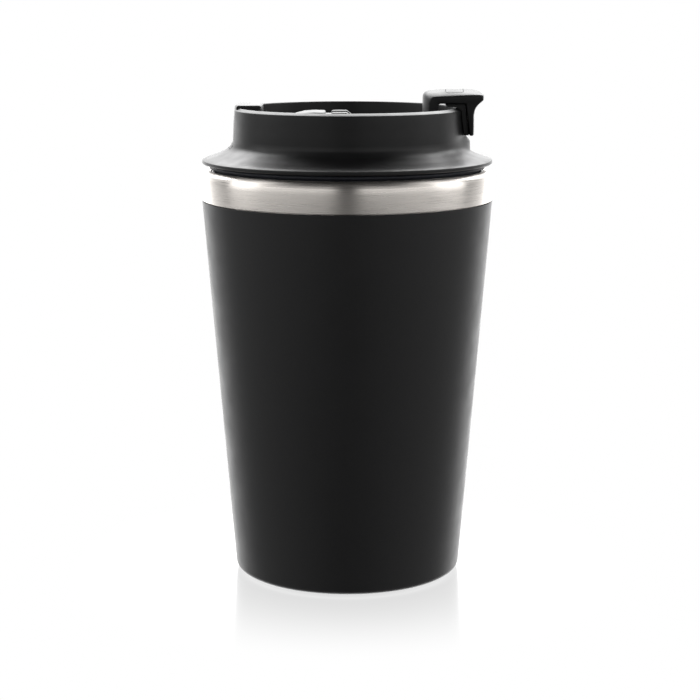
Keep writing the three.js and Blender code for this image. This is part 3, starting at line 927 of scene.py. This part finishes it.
# Each piece that takes the place of a CAD node: its maker, its body and its material slot.
MADE = {
    "outer_shell": (outer_shell, "cup", "body_coating"),
    "base_cap": (base_cap, "cup", "lid_plastic"),
    "base_pad": (base_pad, "cup", "pad_silicone"),
    "rim_band": (rim_band, "cup", "brushed_rim"),
    "inner_liner": (inner_liner, "cup", "steel_wall"),
    "lid_cover": (lid_cover, "lid", "lid_plastic"),
    "lid_plug": (lid_plug, "lid", "lid_plastic"),
    "lid_gasket": (lid_gasket, "lid", "lid_silicone"),
    "rim_seal": (rim_seal, "lid", "lid_silicone"),
    "spout_seal": (spout_seal, "lid", "lid_silicone"),
    "vent_seal": (vent_seal, "lid", "lid_silicone"),
    "rest_block": (rest_block, "lid", "lid_plastic"),
    "hinge_bracket": (hinge_bracket, "lid", "lid_plastic"),
    "hinge_pin": (hinge_pin, "lid", "steel_pin"),
    "lever_arm": (lever_arm, "lever", "lid_plastic"),
    "hook_insert": (hook_insert, "lever", "lid_plastic"),
    "spout_plug": (spout_plug, "lever", "lid_silicone"),
    "vent_plug": (vent_plug, "lever", "lid_silicone"),
}
# Each CAD node that stays as it is, with its material slot.
KEPT = {"shell_bottom": "steel_wall", "vacuum_port_plug": "port_glass", "getter": "getter_metal"}


def dress(obj, slot):
    obj.data.materials.clear()
    obj.data.materials.append(FINISHES[slot].material)


for node, (maker, body, slot) in MADE.items():
    piece = maker(node + "_fine")
    dress(piece, slot)
    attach(piece, body)
    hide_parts(node)
for node, slot in KEPT.items():
    dress(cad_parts[node], slot)

# ---- Floor, light and camera --------------------------------------------------------------------


def floor():
    """White table, clear from below. Its reflection of the mug fades away from the base."""
    half = 6.0
    drop = 0.0002  # keeps the table clear of the base
    full_r, gone_r, reflection = 0.030, 0.085, 0.27
    mesh = bpy.data.meshes.new("floor")
    corners = [(-half, -half, 0), (half, -half, 0), (half, half, 0), (-half, half, 0)]
    mesh.from_pydata(corners, [], [(0, 1, 2, 3)])
    table = bpy.data.objects.new("floor", mesh)
    table.location.z = -drop
    bpy.context.scene.collection.objects.link(table)
    for rays in ("visible_diffuse", "visible_glossy", "visible_transmission", "visible_shadow"):
        setattr(table, rays, False)

    surface = bpy.data.materials.new("floor")
    surface.use_nodes = True
    nodes, links = surface.node_tree.nodes, surface.node_tree.links
    nodes.clear()
    place = nodes.new("ShaderNodeTexCoord")
    distance = nodes.new("ShaderNodeVectorMath")
    distance.operation = "LENGTH"
    fade = nodes.new("ShaderNodeMapRange")
    fade.interpolation_type = "SMOOTHSTEP"
    fading = {"From Min": full_r, "From Max": gone_r, "To Min": reflection, "To Max": 0.0}
    for socket, value in fading.items():
        fade.inputs[socket].default_value = value
    light = nodes.new("ShaderNodeEmission")
    gloss = nodes.new("ShaderNodeBsdfGlossy")
    gloss.inputs["Roughness"].default_value = 0.16
    mix = nodes.new("ShaderNodeMixShader")
    facing = nodes.new("ShaderNodeNewGeometry")
    clear = nodes.new("ShaderNodeBsdfTransparent")
    one_sided = nodes.new("ShaderNodeMixShader")
    output = nodes.new("ShaderNodeOutputMaterial")
    links.new(place.outputs["Object"], distance.inputs[0])
    links.new(distance.outputs["Value"], fade.inputs["Value"])
    links.new(fade.outputs["Result"], mix.inputs["Fac"])
    links.new(light.outputs[0], mix.inputs[1])
    links.new(gloss.outputs[0], mix.inputs[2])
    links.new(facing.outputs["Backfacing"], one_sided.inputs["Fac"])
    links.new(mix.outputs[0], one_sided.inputs[1])
    links.new(clear.outputs[0], one_sided.inputs[2])
    links.new(one_sided.outputs[0], output.inputs["Surface"])
    mesh.materials.append(surface)


# Light by bearing, in degrees from the camera's side round to the back: below the horizon, above it, and
# higher up still.
LOW_LIGHT = [
    (0, 0.13),
    (8, 0.19),
    (30, 0.32),
    (60, 0.46),
    (100, 0.55),
    (108, 0.4),
    (130, 0.95),
    (145, 2.5),
    (180, 4.0),
]
HIGH_LIGHT = [
    (0, 0.05),
    (5, 0.1),
    (13, 1.8),
    (70, 1.8),
    (82, 3.0),
    (102, 3.5),
    (107, 0.2),
    (124, 0.2),
    (140, 1.3),
    (180, 3.4),
]
TOP_LIGHT = [
    (0, 0.02),
    (50, 0.04),
    (75, 0.4),
    (88, 2.0),
    (103, 2.4),
    (110, 0.4),
    (132, 0.6),
    (145, 1.8),
    (180, 2.4),
]
CEILING_LIGHT = 0.08
BACK_LIGHT = 10.0  # a patch high up at the back
BRIGHTEST = 4.0  # the light that the colour white stands for

# Elevations in degrees over which one light gives way to the next.
LOW_TO_HIGH = (0, 11)
HIGH_TO_TOP = (16, 32)
TOP_TO_CEILING = (45, 75)
BACK_RISES = (16, 40)
BACK_FALLS = (56, 70)
BACK_BEARING = (0.67, 0.78)  # parts of a half turn over which the patch begins


def grey(light):
    """The studio's colour for this much light."""
    return (*[light / BRIGHTEST] * 3, 1)


def bearing_ramp(nodes, links, bearing, table):
    ramp = nodes.new("ShaderNodeValToRGB")
    elements = ramp.color_ramp.elements
    while len(elements) < len(table):
        elements.new(0.5)
    for element, (angle, light) in zip(elements, table):
        element.position = angle / 180
        element.color = grey(light)
    links.new(bearing, ramp.inputs["Fac"])
    return ramp.outputs["Color"]


def studio():
    """Dark in front of the mug, a softbox at each side and white behind it; plain white to the camera."""
    world = bpy.data.worlds.new("studio")
    bpy.context.scene.world = world
    world.use_nodes = True
    nodes, links = world.node_tree.nodes, world.node_tree.links
    nodes.clear()

    def put(socket, value):
        if isinstance(value, bpy.types.NodeSocket):
            links.new(value, socket)
        else:
            socket.default_value = value

    def math_node(operation, *values):
        made = nodes.new("ShaderNodeMath")
        made.operation = operation
        for socket, value in zip(made.inputs, values):
            put(socket, value)
        return made.outputs[0]

    def between(value, low, high, start=0.0, end=1.0):
        made = nodes.new("ShaderNodeMapRange")
        made.interpolation_type = "SMOOTHSTEP"
        for socket, number in (("From Min", low), ("From Max", high), ("To Min", start), ("To Max", end)):
            put(made.inputs[socket], number)
        put(made.inputs["Value"], value)
        return made.outputs["Result"]

    def above(elevations, start=0.0, end=1.0):
        low, high = [math.sin(math.radians(angle)) for angle in elevations]
        return between(z, low, high, start, end)

    def blend(factor, first, second):
        made = nodes.new("ShaderNodeMix")
        made.data_type = "RGBA"
        for socket, value in (("Factor", factor), ("A", first), ("B", second)):
            put(made.inputs[socket], value)
        return made.outputs["Result"]

    direction = nodes.new("ShaderNodeTexCoord").outputs["Generated"]
    split = nodes.new("ShaderNodeSeparateXYZ")
    links.new(direction, split.inputs[0])
    x, y, z = split.outputs
    aside = math_node("ABSOLUTE", x)
    forward = math_node("MULTIPLY", y, -1.0)
    bearing = math_node("DIVIDE", math_node("ARCTAN2", aside, forward), math.pi)
    tables = (LOW_LIGHT, HIGH_LIGHT, TOP_LIGHT)
    low, high, top = [bearing_ramp(nodes, links, bearing, table) for table in tables]
    patch = math_node("MULTIPLY", between(bearing, *BACK_BEARING), above(BACK_RISES))
    patch = math_node("MULTIPLY", patch, above(BACK_FALLS, 1.0, 0.0))
    upper = blend(above(HIGH_TO_TOP), high, top)
    upper = blend(above(TOP_TO_CEILING), upper, grey(CEILING_LIGHT))
    upper = blend(patch, upper, grey(BACK_LIGHT))

    lit = nodes.new("ShaderNodeBackground")
    lit.inputs["Strength"].default_value = BRIGHTEST
    links.new(blend(above(LOW_TO_HIGH), low, upper), lit.inputs["Color"])
    white = nodes.new("ShaderNodeBackground")
    white.inputs["Color"].default_value = (1, 1, 1, 1)
    seen = nodes.new("ShaderNodeLightPath")
    mix = nodes.new("ShaderNodeMixShader")
    output = nodes.new("ShaderNodeOutputWorld")
    links.new(seen.outputs["Is Camera Ray"], mix.inputs["Fac"])
    links.new(lit.outputs[0], mix.inputs[1])
    links.new(white.outputs[0], mix.inputs[2])
    links.new(mix.outputs[0], output.inputs["Surface"])


def camera():
    """Solved from the photograph's ellipses: the camera's place in metres, and its tilt in degrees."""
    place, tilt = (0.0008, -0.536, 0.1687), 10.85
    data = bpy.data.cameras.new("camera")
    data.sensor_width = 36
    data.lens = 94.11
    data.clip_end = 100
    eye = bpy.data.objects.new("camera", data)
    eye.location = place
    eye.rotation_euler = (math.radians(90 - tilt), 0, 0)
    bpy.context.scene.collection.objects.link(eye)
    bpy.context.scene.camera = eye


floor()
studio()
camera()
bpy.context.scene.view_settings.view_transform = "Standard"
